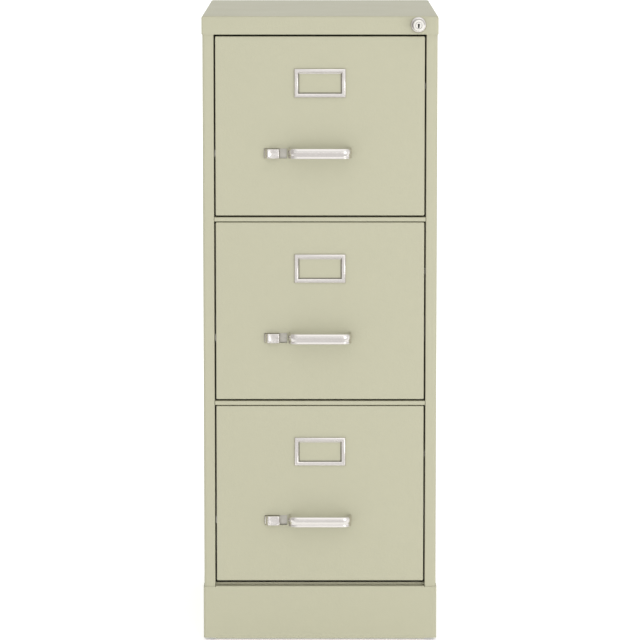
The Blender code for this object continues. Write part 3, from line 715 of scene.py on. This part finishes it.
def stage_sheet(name, size, material):
    """A flat square of the studio, lying face up at the origin and reaching size to each side."""
    bm = bmesh.new()
    bmesh.ops.create_grid(bm, x_segments=1, y_segments=1, size=size)
    mesh = bpy.data.meshes.new(name)
    bm.to_mesh(mesh)
    bm.free()
    mesh.materials.append(material)
    sheet = bpy.data.objects.new(name, mesh)
    bpy.context.scene.collection.objects.link(sheet)
    return sheet


def floor():
    """Pale matte floor, lifted by a little light of its own so that it meets the sky evenly."""
    shader = Shader("pale_floor")
    cloud = shader.noise(0.6, 3.0, 0.5)
    base = shader.tint(cloud, (0.875, 0.875, 0.873), (0.89, 0.89, 0.888))
    fine = shader.noise(40.0, 2.0, 0.5)
    shader.surface.inputs["Specular IOR Level"].default_value = 0.2
    shader.surface.inputs["Emission Color"].default_value = WHITE
    shader.surface.inputs["Emission Strength"].default_value = 0.34
    stage_sheet("studio_floor", 45.0, shader.finish(base, 0.75, 0.0, shader.bump(fine, 0.0002)))


def sky():
    """White surroundings, brightest high above the front."""
    world = bpy.data.worlds.new("studio")
    bpy.context.scene.world = world
    world.use_nodes = True
    tree = world.node_tree
    direction = tree.nodes.new("ShaderNodeTexCoord").outputs["Generated"]
    facing = tree.nodes.new("ShaderNodeVectorMath")
    facing.operation = "DOT_PRODUCT"
    facing.inputs[1].default_value = Vector((0.22, -0.62, 0.75)).normalized()
    tree.links.new(direction, facing.inputs[0])
    lobe = tree.nodes.new("ShaderNodeMapRange")
    lobe.interpolation_type = "SMOOTHSTEP"
    lobe.inputs["From Min"].default_value = 0.60
    lobe.inputs["To Min"].default_value = 0.995
    lobe.inputs["To Max"].default_value = 1.46
    tree.links.new(facing.outputs["Value"], lobe.inputs["Value"])
    tree.links.new(lobe.outputs[0], tree.nodes["Background"].inputs["Strength"])
    tree.nodes["Background"].inputs["Color"].default_value = WHITE


def area_light(name, place, width, height, power):
    """A rectangular soft light aimed at the middle of the front."""
    light = bpy.data.lights.new(name, "AREA")
    light.shape = "RECTANGLE"
    light.size = width
    light.size_y = height
    light.energy = power
    obj = bpy.data.objects.new(name, light)
    obj.location = place
    obj.rotation_euler = (FRONT_MIDDLE - obj.location).to_track_quat("-Z", "Y").to_euler()
    bpy.context.scene.collection.objects.link(obj)
    return obj


def grey_card(name, place, size, facing, dark, light):
    """A square card seen only in glossy reflections, where it gives plated parts their bands."""
    shader = Shader(name)
    shader.feed(shader.surface.inputs["Emission Color"], shader.tint(shader.noise(1.5), dark, light))
    shader.surface.inputs["Emission Strength"].default_value = 1.0
    relief = shader.bump(shader.noise(30.0), 0.001)
    card = stage_sheet(name, size, shader.finish((0.0, 0.0, 0.0, 1.0), 1.0, 0.0, relief))
    card.location = place
    card.rotation_euler = Vector(facing).to_track_quat("Z", "Y").to_euler()
    card.visible_camera = False
    card.visible_diffuse = False
    card.visible_shadow = False


def studio():
    """The sky, a key light at the right, a wide fill that plating doesn't mirror and three cards."""
    sky()
    area_light("key", place=(1.7, -2.3, 0.48), width=1.1, height=1.0, power=10.0)
    fill = area_light("fill", place=(0.3, -3.4, 0.65), width=2.6, height=1.4, power=14.5)
    fill.visible_glossy = False
    fill.visible_camera = False
    warm_white = ((0.91, 0.895, 0.90), (0.95, 0.935, 0.94))
    warm_grey = ((0.66, 0.64, 0.63), (0.72, 0.70, 0.69))
    grey_card("floor_card", (0.0, -3.6, 0.002), 2.9, (0, 0, 1), *warm_white)
    grey_card("side_card", (-3.4, -1.6, 1.7), 1.7, (1, 0, 0), *warm_grey)
    grey_card("side_floor_card", (-4.6, -1.6, 0.003), 3.0, (0, 0, 1), *warm_grey)


def camera():
    """Long lens straight ahead of the front, a little above the top and tilted down at it."""
    low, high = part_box("top_cap")
    data = bpy.data.cameras.new("camera")
    data.sensor_width = 36.0
    data.lens = CAMERA_LENS
    data.clip_end = 200.0
    obj = bpy.data.objects.new("camera", data)
    obj.location = (0.0, low.y - CAMERA_DISTANCE, high.z + CAMERA_RISE)
    obj.rotation_euler = (math.radians(90 - CAMERA_TILT), 0.0, 0.0)
    bpy.context.scene.collection.objects.link(obj)
    bpy.context.scene.camera = obj


floor()
studio()
camera()
bpy.context.scene.view_settings.view_transform = "Standard"
